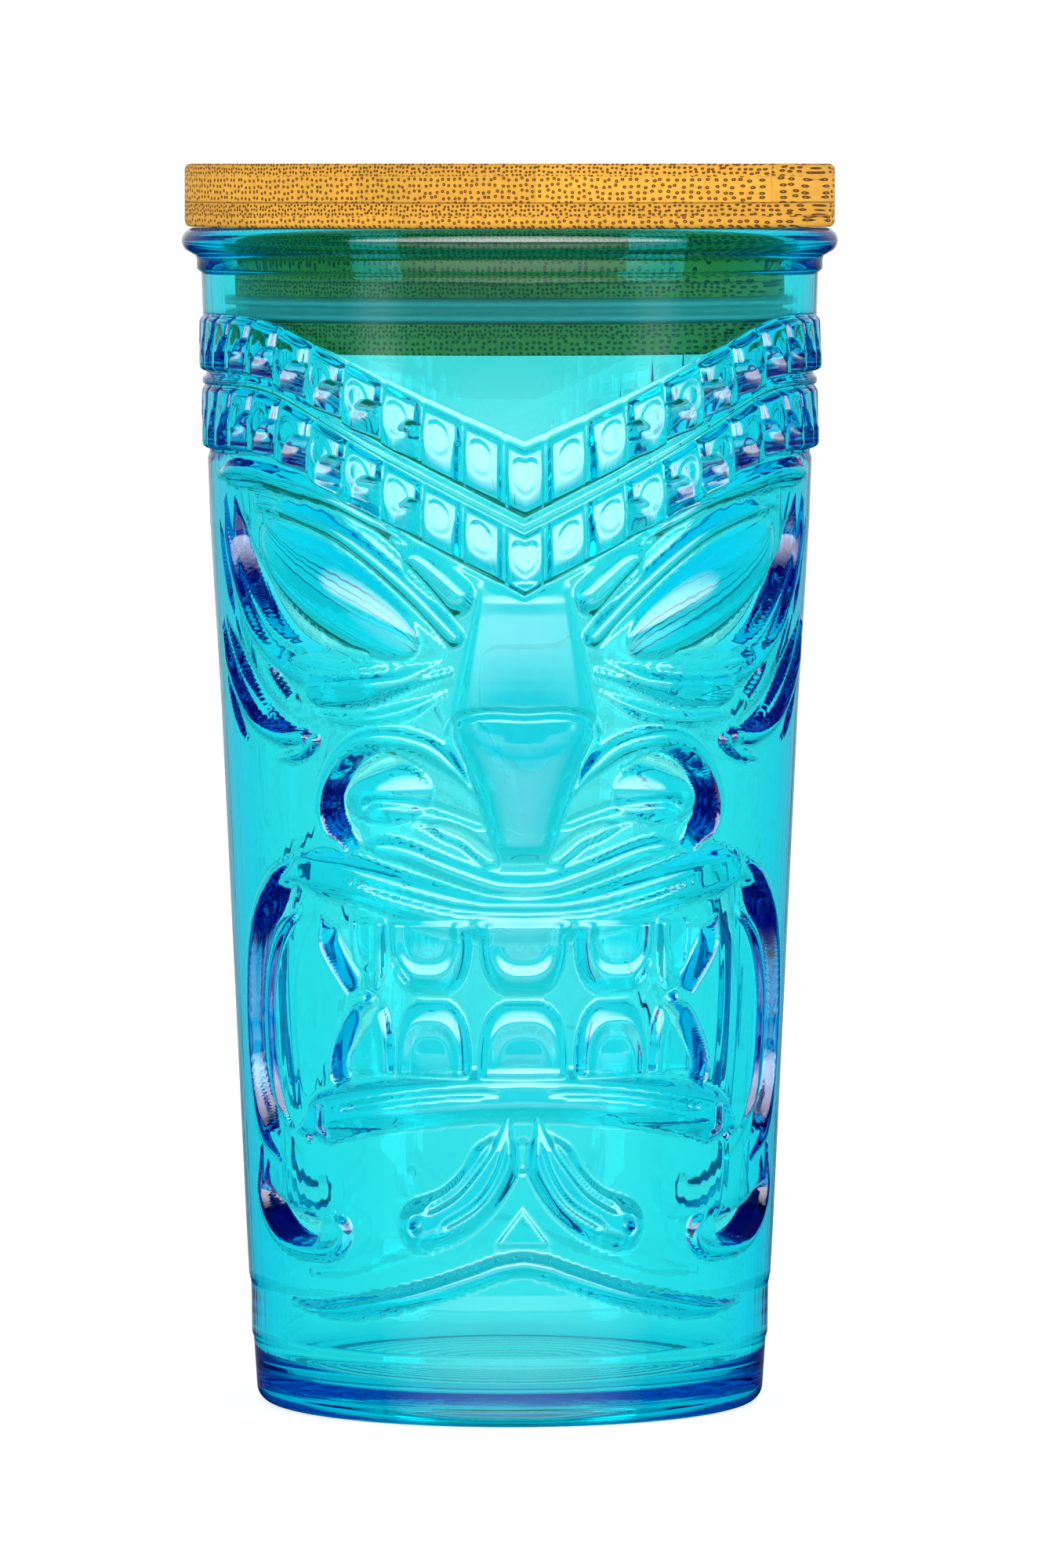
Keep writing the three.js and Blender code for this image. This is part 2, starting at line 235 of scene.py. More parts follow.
# Ridges and grooves of the face: name, half width, rise (negative for a groove), taper at the
# start and end as a share of the line, how much of the half width is the flat crest or floor,
# and the line as (degrees from the middle of the face, height) points.
STROKES = [
    # brow and eye
    ("eyebrow", 1.8, 1.5, 0.2, 0.2, 0.2,
     [(76, 124.6), (58, 124.8), (46, 123.3), (36, 121.6), (28, 119), (22, 116)]),
    ("eyebrow, inner end", 2.6, 1.5, 0.5, 0, 0.2,
     [(25, 116.4), (18.5, 112.6), (13, 109.2)]),
    ("brow fold", 0.6, -0.7, 0.3, 0.1, 0,
     [(56, 122), (46, 121.3), (36.2, 119.9), (28.2, 117), (19.5, 111.6), (12.6, 105.8)]),
    ("upper lid", 1.3, 1.5, 0.3, 0, 0.2,
     [(58, 120.8), (47.8, 119.9), (38, 117.9), (30.5, 114.9), (21.5, 109.8), (13.2, 103.9)]),
    ("eye crease", 0.7, -0.8, 0.2, 0.2, 0,
     [(56, 118.9), (47.8, 118.1), (39.3, 116), (31, 112.6), (22, 107.6), (14.5, 102.6)]),
    ("eye groove", 2.2, -2.1, 0.15, 0.45, 0.4,
     [(67, 121), (64.2, 115), (58.8, 110.2), (52.8, 106.4), (45.8, 103.7), (39.2, 102.4), (31, 101.4)]),
    ("socket rim", 1.2, 1.1, 0.15, 0.1, 0.2,
     [(72, 121), (68, 111.5), (59, 103.4), (49, 98.9), (39, 97.9), (25.5, 98.2), (16, 100.4)]),
    ("socket rim, inner", 0.7, 0.8, 0.2, 0.2, 0,
     [(66, 108), (57, 102.8), (46, 100), (36, 99.5), (24, 100)]),
    ("cheek pad", 2.4, 1.7, 0.7, 0.1, 0.3,
     [(14.1, 99.3), (22, 98.1), (33, 96.8), (45.5, 96.4)]),
    ("cheek fold", 1.1, 0.9, 0.3, 0.3, 0,
     [(15, 96.6), (24, 94), (35, 92.9), (47, 94)]),
    ("outer groove, top", 0.8, -0.5, 0.2, 0.3, 0.3,
     [(76, 118), (73.2, 111.5), (70, 106)]),
    ("outer groove", 1.1, -0.9, 0.3, 0.2, 0.4,
     [(75, 105), (69, 101), (62.5, 97), (57, 94.2), (48, 91.4)]),
    ("wedge", 0.9, -1.0, 0.4, 0.1, 0.2,
     [(59.5, 103.6), (55, 99), (49.5, 95.6)]),
    ("side groove", 0.9, -0.5, 0.3, 0.3, 0.3,
     [(78, 100), (73.5, 94.5), (69, 90.8), (66, 89.4)]),
    ("curl", 1.3, 1.2, 0.3, 0.05, 0.2,
     [(78, 104.6), (72.5, 98.2), (64, 93), (54, 90.4), (44.4, 90.4)]),
    ("curl return", 1.0, 0.8, 0, 0.5, 0.2,
     [(44.2, 89.9), (48, 88.2), (56, 87.2)]),
    # nose
    ("nose tip edge", 0.7, -1.0, 0, 0.2, 0,
     [(0, 94), (7, 94.2), (12.6, 93.2), (14.4, 91), (12, 87.6), (10.4, 84.6)]),
    ("wing rim", 1.5, 1.4, 0.25, 0.1, 0.2,
     [(8.5, 82.6), (13, 86.4), (19.5, 89.6), (29, 90.6), (37, 88.2), (41.6, 83.1), (41, 79.4),
      (37.4, 76)]),
    ("wing groove", 1.6, -2.1, 0.35, 0.08, 0.4,
     [(20, 86.4), (25, 87.6), (30, 87.2), (35, 85.8), (38.3, 83.2), (38.8, 80.1), (36.2, 77.6),
      (32.8, 76.4)]),
    ("wing fold", 0.8, -0.9, 0.2, 0.1, 0,
     [(5.6, 78.8), (14.6, 80.9), (21.1, 82), (29, 82.3), (32.6, 81)]),
    ("nostril", 1.3, -1.4, 0.15, 0.4, 0.4,
     [(4.6, 74), (8.6, 76), (13, 78), (22, 79.7)]),
    ("moustache", 1.6, 1.3, 0.2, 0, 0.2,
     [(34, 76.6), (24, 75.8), (14, 73.4), (6, 71.6), (0, 71.2)]),
    # mouth
    ("upper lip", 3.3, 1.7, 0, 0.2, 0.4,
     [(0, 67.4), (9, 67.6), (20, 69.2), (30, 71), (38, 72.2), (47, 72.8), (54, 71.4)]),
    ("upper lip crease", 0.6, -0.6, 0, 0.3, 0,
     [(0, 68), (12, 68.4), (22, 69.8), (36, 72.2)]),
    ("mouth groove", 2.2, -2.3, 0.08, 0.08, 0.45,
     [(52, 70), (60, 66.4), (65.4, 61.2), (67.8, 54.9), (68.2, 47.3), (65.4, 41.2), (60.2, 37.6)]),
    ("mouth rim", 1.3, 0.8, 0.2, 0.15, 0.2,
     [(49, 75), (59, 71.4), (67.6, 65), (71.8, 56), (72, 46), (68.6, 38), (60, 33.8)]),
    ("mouth lining", 0.9, 0.8, 0.15, 0.15, 0.2,
     [(50, 67.6), (57, 63.4), (61, 57), (61.8, 50), (60.2, 43), (56, 38.8)]),
    ("lower lip", 3.5, 1.9, 0, 0.15, 0.3,
     [(0, 44.2), (10, 43.9), (20, 43.2), (33, 42), (43, 40.6), (52, 38.4)]),
    ("lower lip crease", 0.6, -0.6, 0.2, 0.2, 0,
     [(3, 44.6), (20, 43.9), (40, 41.6)]),
    ("upper separator", 2.0, -2.5, 0.25, 0.1, 0.4,
     [(43.8, 66.4), (41.4, 63), (37.6, 59.8), (34.6, 57.6)]),
    ("lower separator", 1.9, -2.5, 0.25, 0.1, 0.4,
     [(29.4, 55.7), (34.4, 53.8), (37.3, 51.4), (39.8, 48.2), (40.6, 44.4)]),
    ("gum pit", 1.0, -1.2, 0, 0, 0.2,
     [(32.4, 56.4), (31.4, 55.8)]),
    ("tooth slot", 0.9, -1.5, 0.15, 0.15, 0.2,
     [(26.8, 62.4), (24.6, 60.3), (22.4, 58.6)]),
    ("corner nick 1", 0.8, -0.9, 0, 0, 0.2,
     [(43, 41.6), (43, 38.6)]),
    ("corner nick 2", 0.9, -0.9, 0, 0, 0.2,
     [(48, 41), (49.6, 37.8)]),
    # chin
    ("cheek crescent", 1.9, -2.0, 0.35, 0.05, 0.4,
     [(66, 33.4), (66.5, 29.5), (60.5, 26.6), (53, 25.3), (47.4, 26.2)]),
    ("crescent rim", 1.2, 1.0, 0.25, 0.1, 0.2,
     [(69, 35.4), (69.4, 28.4), (62, 23.8), (52, 22.4), (43, 22.9), (40, 25.4), (43.6, 27.8)]),
    ("petal", 3.6, 2.0, 0.3, 0, 0.3,
     [(3, 40.6), (4.8, 36.6), (8.8, 31.9), (14.6, 28.5), (21.6, 26.7)]),
    ("petal line, inner", 0.6, -0.9, 0.2, 0.1, 0,
     [(3, 38.6), (5, 33.8), (9.4, 29.6), (17, 26.4)]),
    ("petal line, outer", 0.6, -0.9, 0.2, 0.1, 0,
     [(4.4, 40), (7.4, 36.2), (13.2, 31.4), (20, 28.6)]),
    ("petal pit", 0.9, -1.7, 0, 0, 0.4,
     [(21.5, 27), (21.9, 26.7)]),
    ("slot", 1.0, -0.9, 0, 0, 0.2,
     [(0, 37.2), (0, 34.7)]),
    ("chin wave", 1.5, 2.0, 0, 0.35, 0.2,
     [(0, 21.9), (5, 21.3), (10, 20.1), (22.8, 17.4), (37.6, 15.4), (50, 14.9), (59, 15.5)]),
]

BACK_STRENGTH = 0.15  # of the relief at the middle of the back face
STROKE_GAIN = 1.2
OVERLAP_GAIN = 0.25  # share of the lower of two crossing ridges that adds to the higher one
NARROW_END = 0.15  # width of a tapered end, as a share of the full width
EYEBALL = dict(angle=38.8, height=109.6, length=12.4, width=6.0, climb=0.52, rise=3.3)
NOSTRIL_ROLL = dict(angle=27.5, height=83.2, length=6.4, width=3.9, climb=-0.08, rise=2.2)
# (height, half width in degrees, rise) of the nose from its top down
NOSE = [
    (110, 8.6, 1.6), (100, 12.3, 2.8), (91.6, 14.9, 3.6),
    (86.8, 11.1, 3.6), (81, 8.2, 3.0), (75.6, 5.7, 2.0),
]
TOOTH_RISE = 3.0
UPPER_TEETH = dict(flat_end=66.5, round_end=57.2, edges=[(-8.9, 8.9), (10.3, 27.4), (28.4, 36.4)])
LOWER_TEETH = dict(flat_end=46.5, round_end=56.4, edges=[(-9.2, 9.2), (10.6, 26.2), (27.2, 38)])
BEAD_RISE = 3.3
CREASE_DEPTH = 0.5
BAND_GAP_RISE = 0.35
TRIANGLE_BOTTOM = 23.9
TRIANGLE_TOP = 29.3
TRIANGLE_RISE = 0.45


def stroke_relief(u, z, line, half, rise, taper_in, taper_out, flat):
    """One ridge or groove, on the wall unrolled to `u` along and `z` up."""
    path = spline([(angle * ARC, height) for angle, height in line])
    d, place = distance_along(path, u, z, half + 0.1)
    width = half * np.ones_like(u)
    if taper_in:
        width = width * (NARROW_END + (1 - NARROW_END) * smoothstep(place / taper_in))
    if taper_out:
        width = width * (NARROW_END + (1 - NARROW_END) * smoothstep((1 - place) / taper_out))
    edge = np.clip(1 - (d / width - flat) / (1 - flat), 0, 1)
    return rise * STROKE_GAIN * bevel(edge) * np.minimum(1, width / half + 0.25)


def dome(u, z, angle, height, length, width, climb, rise):
    """An oval boss whose long axis rises by `climb` to the side."""
    du = u - angle * ARC
    dz = z - height - climb * du
    inside = np.clip(1 - (du / length) ** 2 - (dz / width) ** 2, 0, None)
    return rise * inside**0.7


def nose_relief(angle, z):
    """The nose, half round across, with its width and rise smoothed along its height."""
    heights, widths, rises = zip(*NOSE[::-1])

    def smooth_profile(values):
        return sum(np.interp(z + step, heights, values) for step in (-3, -1.5, 0, 1.5, 3)) / 5

    ends = bevel((heights[-1] + 1 - z) / 2.5) * bevel((z - heights[0] + 1) / 2.5)
    across = np.clip(1 - (angle / smooth_profile(widths)) ** 2, 0, None) ** 0.5
    return smooth_profile(rises) * ends * across


def teeth_relief(angle, z, flat_end, round_end, edges):
    """A row of teeth, each flat at its root and round at its other end."""
    total = np.zeros_like(z)
    rise = TOOTH_RISE * (1 - 0.6 * smoothstep((angle - 24) / 8))  # the last tooth of a row is low
    along = np.clip((z - flat_end) / (round_end - flat_end), 0, None)
    for inner, outer in edges:
        across = np.abs(2 * angle - inner - outer) / (outer - inner)
        past_root = (z - flat_end) * (round_end - flat_end) > 0
        inside = np.clip(1 - across**3 - along**3, 0, None) * past_root
        cup = smoothstep((inside - 0.55) / 0.35)
        total = np.maximum(total, rise * (inside**0.5 - 0.3 * cup))
    return total


def bead_relief(angle, z, bottom, top):
    """One brow band: blocks that fall away towards the middle of the face at their lower end."""
    up = (z - bottom) / (top - bottom)
    place = (angle / BEAD_PITCH + 0.5) % 1  # 0 at the side towards the middle of the face
    fade = 1 - 0.75 * smoothstep((angle - 50) / 38)  # the mould's draft flattens the sides
    crest = BEAD_RISE * fade * (1 - 0.5 * up**2) * bevel(up / 0.1) * bevel((1 - up) / 0.1)
    crest = crest * (1 - 0.2 * (2 * place - 1) ** 2)
    dent = smoothstep(1.4 - ((place - 0.55) / 0.3) ** 2 - ((up - 0.6) / 0.25) ** 2)
    crest = crest * (1 - 0.12 * dent)
    scoop = np.clip(1 - (np.clip(up - 0.3, 0, None) / 0.36) ** 2, 0, None) ** 0.5
    scoop = scoop * smoothstep((angle - 8) / 20)
    block = np.clip(place / (0.12 + 0.5 * scoop), 0, 1) * bevel((1 - place) / 0.12)
    rib = 0.4 * bevel(1 - np.minimum(place, 1 - place) / 0.06)
    return crest * np.maximum(np.maximum(block, rib), 0.3 * up)


def band_relief(angle, z):
    """Both brow bands, the crease under each and the low rib between them."""
    total = np.zeros_like(z)
    for bottom, top in ((LOWER_BOTTOM, LOWER_TOP), (UPPER_BOTTOM, UPPER_TOP)):
        low, high = bottom(angle), top(angle)
        inside = (z > low) & (z < high)
        total = np.where(inside, bead_relief(angle, z, low, high), total)
        crease = np.clip(1 - np.abs(z - low + 0.25) / 0.6, 0, None)
        total = total - CREASE_DEPTH * smoothstep(crease) * ~inside
    between = (z > LOWER_TOP(angle)) & (z < UPPER_BOTTOM(angle))
    return total + BAND_GAP_RISE * between


def chin_triangle(angle, z):
    """A small flat triangle under the petals, its point up."""
    inside = np.minimum(z - TRIANGLE_BOTTOM, (TRIANGLE_TOP - z) * 0.62 - angle * ARC * 0.78)
    return TRIANGLE_RISE * smoothstep(inside / 0.5)


def face_relief(angle, z):
    """Relief of the bands and the face; `angle` is degrees from the middle of the face."""
    u = angle * ARC
    raised = nose_relief(angle, z)
    raised = np.maximum(raised, dome(u, z, **EYEBALL))
    raised = np.maximum(raised, dome(u, z, **NOSTRIL_ROLL))
    for row in (UPPER_TEETH, LOWER_TEETH):
        raised = np.maximum(raised, teeth_relief(angle, z, **row))
    raised = np.maximum(raised, chin_triangle(angle, z))
    sunk = np.zeros_like(z)
    for _, half, rise, taper_in, taper_out, flat, line in STROKES:
        height = stroke_relief(u, z, line, half, rise, taper_in, taper_out, flat)
        if rise > 0:
            height = height * (1 - 0.5 * smoothstep((angle - 52) / 25))  # lower round the side
            raised = np.maximum(raised, height) + OVERLAP_GAIN * np.minimum(raised, height)
        else:
            sunk = np.minimum(sunk, height)
    return raised + sunk + band_relief(angle, z)


# ------------------------------------------------------------------ glass tumbler

# Key lines of the outside wall from the foot up and the number of rows to each, so that the
# rows follow the slanted brow bands.
WALL_ROWS = [
    (8.4, 10), (9.2, 4), (15.8, 12), (17.2, 5), (24, 14), (68, 110), (92, 62),
    (LOWER_BOTTOM, 60), (LOWER_TOP, 30), (UPPER_BOTTOM, 8), (UPPER_TOP, 30), (NECK_BOTTOM, 20),
]


def wall_grid(strength):
    """Heights and radii of the outside wall over a quarter turn: rows by angles 0 to 90.

    `strength` scales the relief at the middle of the face; at the sides it is always full.
    """
    angle = np.linspace(0, 90, COLUMNS // 4 + 1)
    start = np.full_like(angle, WALL[0][0])
    rows = [start]
    for line, count in WALL_ROWS:
        end = line(angle) if callable(line) else np.full_like(angle, line)
        rows += [start + (end - start) * k / count for k in range(1, count + 1)]
        start = end
    z = np.array(rows)
    angle = np.broadcast_to(angle, z.shape)
    heights, radii = zip(*WALL)
    scale = strength + (1 - strength) * smoothstep((angle - 40) / 45)
    radius = np.interp(z, heights, radii) + scale * face_relief(angle, z)
    # The mould opens towards -Y and +Y, so no wall is undercut that way.
    sine = np.sin(np.radians(angle))
    reach = np.maximum.accumulate(radius * sine, axis=1)
    radius = np.where(sine > 0.05, reach / np.maximum(sine, 0.05), radius)
    return z, radius


def arc_points(centre, size, turns):
    """Points of an upright oval about a centre, at the given angles in degrees."""
    points = []
    for t in map(math.radians, turns):
        points.append((centre[0] + size[0] * math.cos(t), centre[1] + size[1] * math.sin(t)))
    return points


def rim_rings():
    """Rings of the neck, the rim's bead and the edge of the mouth, as (radius, height)."""
    bead_centre = (RIM_RADIUS - RIM_BEAD, GLASS_HEIGHT - RIM_BEAD)
    mouth_centre = (MOUTH_RADIUS + MOUTH_ROUND, GLASS_HEIGHT - MOUTH_ROUND)
    return [
        (NECK_RADIUS - 0.3, NECK_BOTTOM + 0.15), (NECK_RADIUS, NECK_BOTTOM + 0.5),
        (NECK_RADIUS, NECK_TOP - 0.6), (NECK_RADIUS + 0.15, NECK_TOP - 0.1),
        *arc_points(bead_centre, (RIM_BEAD, RIM_BEAD), range(-52, 91, 8)),
        *arc_points(mouth_centre, (MOUTH_ROUND, MOUTH_ROUND), range(90, 181, 10)),
    ]


def inside_rings(count=41):
    """Rings of the inside from the mouth down and in to the middle of the floor."""
    flat = FLOOR_RADIUS - FLOOR_ROUND
    return [
        *zip(np.linspace(MOUTH_RADIUS, FLOOR_RADIUS, count), np.linspace(MOUTH_BOTTOM, FLOOR_TOP, count)),
        *arc_points((flat, FLOOR_TOP), (FLOOR_ROUND, -FLOOR_ROUND), range(8, 91, 8)),
        *[(flat * k, FLOOR_HEIGHT + FLOOR_CROWN * (1 - k**2)) for k in (0.85, 0.6, 0.3)],
    ]


def foot_rings():
    """Rings from the middle of the base out to the wall's first row."""
    top_height, top_radius = WALL[0]
    flat = FOOT_RADIUS - FOOT_EDGE
    return [
        *[(HOLLOW_RADIUS * k / 50, PUSH_UP) for k in range(1, 49)],
        (HOLLOW_RADIUS - 0.1, PUSH_UP - 0.4), (HOLLOW_RADIUS, PUSH_UP - 1),
        (FOOT_INNER_RADIUS - 0.2, 0.5), (FOOT_INNER_RADIUS, 0.1),
        (FOOT_INNER_RADIUS + FOOT_EDGE, 0.0), (flat, 0.0),
        *arc_points((flat, top_height), (top_radius - flat, top_height), range(-80, 0, 10)),
    ]


def ripple(turn, height):
    """Faint vertical ripples that the plunger leaves on the inside of pressed glass."""
    wave = 0
    for count, phase in ((37, 0.4), (61, 2.1), (97, 1.3), (149, 4.0)):
        wave = wave + np.sin(count * turn + phase + 0.02 * height * math.sin(phase))
    return RIPPLE_DEPTH * wave


def underside(turn, radius):
    """Low concentric ridges under the base, as the mould's plate leaves them."""
    depth = RIDGE_DEPTH * smoothstep(radius / 6) * smoothstep((FOOT_INNER_RADIUS - 1 - radius) / 1.5)
    waver = 0.3 * np.sin(5 * turn) + 0.2 * np.sin(11 * turn + 1)
    return depth * np.sin(2 * math.pi * radius / RIDGE_PITCH + waver)


def glass_mesh():
    """One closed surface from the middle of the base, up the wall, over the rim and in to the floor."""
    z, front = wall_grid(1.0)
    _, back = wall_grid(BACK_STRENGTH)
    quarter = COLUMNS // 4
    column = np.arange(COLUMNS)
    # column 0 is at the middle of the front face (-Y); the face repeats, fainter, at the back
    folded = column % (2 * quarter)
    source = np.where(folded <= quarter, folded, 2 * quarter - folded)
    in_front = (column <= quarter) | (column >= 3 * quarter)
    turn = column * 2 * math.pi / COLUMNS - math.pi / 2

    rows = []
    for r, h in foot_rings():
        rows.append((np.full(COLUMNS, r), h + underside(turn, r)))
    for heights, near, far in zip(z, front, back):
        rows.append((np.where(in_front, near[source], far[source]), heights[source]))
    rows += [(np.full(COLUMNS, r), np.full(COLUMNS, h)) for r, h in rim_rings()]
    for r, h in inside_rings():
        rows.append((r + ripple(turn, h) * min(1, r / 20), np.full(COLUMNS, h)))

    points = [np.stack([r * np.cos(turn), r * np.sin(turn), h], 1) for r, h in rows]
    points = np.vstack([[[0, 0, PUSH_UP]]] + points + [[[0, 0, FLOOR_HEIGHT + FLOOR_CROWN]]]) * MM
    count = len(rows)
    first = 1 + np.arange(count - 1)[:, None] * COLUMNS
    a = first + column
    b = first + (column + 1) % COLUMNS
    quads = np.stack([a, b, b + COLUMNS, a + COLUMNS], 2).reshape(-1, 4)
    mesh = bpy.data.meshes.new("glass_tumbler_body")
    faces = quads.tolist()
    last = len(points) - 1
    top = 1 + (count - 1) * COLUMNS
    faces += [(0, 1 + (k + 1) % COLUMNS, 1 + k) for k in range(COLUMNS)]
    faces += [(last, top + k, top + (k + 1) % COLUMNS) for k in range(COLUMNS)]
    mesh.from_pydata(points.tolist(), [], faces)
    mesh.shade_smooth()
    mesh.update()
    return mesh


def glass_material():
    """Clear glass whose aqua tint deepens with its thickness."""
    material, graph, shader = principled("aqua_glass")
    graph.feed_named(shader, {
        "Base Color": (1, 0.99, 0.91),
        "Transmission Weight": 1,
        "IOR": 1.52,
        "Roughness": 0.0,
    })
    tint = graph.node("ShaderNodeVolumeAbsorption")
    graph.feed_named(tint, {"Color": (0.0, 0.916, 0.978), "Density": 500})
    graph.links.new(tint.outputs["Volume"], graph.nodes["Material Output"].inputs["Volume"])
    return material


# ------------------------------------------------------------------ bamboo lid

PLY = 5.2
LID_RADIUS = 43.3
LID_BOTTOM = GLASS_HEIGHT + 0.1
PLUG_RADIUS = 36.6
FLANGE_RADIUS = 36.9
GROOVE_RADIUS = 34.2
GROOVE_BOTTOM = 144.5
GROOVE_TOP = 147.9
PLUG_BOTTOM = 140.4
EDGE_ROUND = 0.8
GLUE_LINE = 0.03
SLAT_WIDTH = 23
FIBRE_ANGLE = math.radians(23.5)
LID_SEGMENTS = 240
SHARP_ANGLE = math.radians(30)
SLAT_TONES = [1.0, 1.07, 0.95, 1.1, 1.03, 0.98]

ACROSS = Vector((math.cos(FIBRE_ANGLE), -math.sin(FIBRE_ANGLE), 0))  # across the slats


def rounded(corner, radius, start, end, steps=5):
    """Points of a rounded corner, from direction `start` to `end` in degrees about its centre."""
    turns = [start + (end - start) * k / steps for k in range(steps + 1)]
    return arc_points(corner, (radius, radius), turns)


def disc_outline(top, bottom):
    edge = rounded((LID_RADIUS - EDGE_ROUND, top - EDGE_ROUND), EDGE_ROUND, 0, 90)
    return [(0, bottom), (LID_RADIUS, bottom), *edge, (0, top)]


def step_outline(top, bottom):
    plug = [(0, bottom), (PLUG_RADIUS, bottom), (PLUG_RADIUS, LID_BOTTOM)]
    edge = rounded((LID_RADIUS - EDGE_ROUND, LID_BOTTOM + EDGE_ROUND), EDGE_ROUND, -90, 0)
    return [*plug, *edge, (LID_RADIUS, top), (0, top)]


def plug_outline(top, bottom):
    return [(0, bottom), (PLUG_RADIUS, bottom), (PLUG_RADIUS, top), (0, top)]


def groove_outline(top, bottom):
    return [
        (0, bottom), (GROOVE_RADIUS, bottom), (GROOVE_RADIUS, GROOVE_TOP), (PLUG_RADIUS, GROOVE_TOP),
        (PLUG_RADIUS, top), (0, top),
    ]


def flange_outline(top, _):
    edge = rounded((FLANGE_RADIUS - EDGE_ROUND, PLUG_BOTTOM + EDGE_ROUND), EDGE_ROUND, -90, 0)
    return [(0, PLUG_BOTTOM), *edge, (FLANGE_RADIUS, top), (0, top)]


# From the top down: name of the slats, radius, place of one joint line across the slats, outline.
PLIES = [
    ("disc_slat", LID_RADIUS, -4.6, disc_outline),
    ("step_slat", LID_RADIUS, 0.4, step_outline),
    ("plug_slat", PLUG_RADIUS, 7, plug_outline),
    ("groove_slat", PLUG_RADIUS, -3, groove_outline),
    ("flange_slat", FLANGE_RADIUS, 4, flange_outline),
]


def turned_bmesh(outline, segments):
    """A solid turned round the Z axis; the outline starts and ends on the axis."""
    bm = bmesh.new()
    low = bm.verts.new((0, 0, outline[0][1] * MM))
    high = bm.verts.new((0, 0, outline[-1][1] * MM))
    rings = []
    for radius, height in outline[1:-1]:
        ring = []
        for k in range(segments):
            t = 2 * math.pi * k / segments
            ring.append(bm.verts.new((radius * MM * math.cos(t), radius * MM * math.sin(t), height * MM)))
        rings.append(ring)
    for k in range(segments):
        n = (k + 1) % segments
        bm.faces.new((low, rings[0][n], rings[0][k]))
        bm.faces.new((high, rings[-1][k], rings[-1][n]))
        for a, b in zip(rings, rings[1:]):
            bm.faces.new((a[k], a[n], b[n], b[k]))
    return bm


def cut_away(bm, place, direction):
    """Cut off what lies past a plane across the slats, and close the cut."""
    everything = bm.verts[:] + bm.edges[:] + bm.faces[:]
    point, normal = ACROSS * place * MM, ACROSS * direction
    cut = bmesh.ops.bisect_plane(bm, geom=everything, plane_co=point, plane_no=normal, clear_outer=True)
    edges = [e for e in cut["geom_cut"] if isinstance(e, bmesh.types.BMEdge)]
    bmesh.ops.contextual_create(bm, geom=edges)


def slat_mesh(name, outline, low, high):
    bm = turned_bmesh(outline, LID_SEGMENTS)
    if low is not None:
        cut_away(bm, low, -1)
    if high is not None:
        cut_away(bm, high, 1)
    bmesh.ops.recalc_face_normals(bm, faces=bm.faces[:])
    for face in bm.faces:
        face.smooth = True
    for edge in bm.edges:
        if len(edge.link_faces) == 2 and edge.calc_face_angle(0) > SHARP_ANGLE:
            edge.smooth = False
    mesh = bpy.data.meshes.new(name)
    bm.to_mesh(mesh)
    bm.free()
    return mesh


PALE_WOOD = (0.78, 0.41, 0.055)
DEEP_WOOD = (0.62, 0.29, 0.03)
GLUE_BROWN = (0.16, 0.06, 0.012)
PORE_BROWN = (0.06, 0.017, 0.004)
# (distance from a pore's middle as a share of the pores' spacing, darkness)
FINE_PORE = [(0.04, 0.5), (0.1, 1), (0.27, 1), (0.36, 0)]
COARSE_PORE = [(0.04, 0.1), (0.1, 1), (0.23, 1), (0.31, 0)]
# Shares of fine pores, of glue and of the marks that show, as (place in the ply from 0 at its
# bottom to 1 at its top, share).
FINE_SHARE = [(0.0, 0), (0.66, 0), (0.7, 1), (1.0, 1)]
GLUE_SHARE = [(0.0, 0.7), (0.025, 0.7), (0.045, 0)]
MARK_SHARE = [(0.0, 1), (0.984, 1), (0.991, 0.3)]


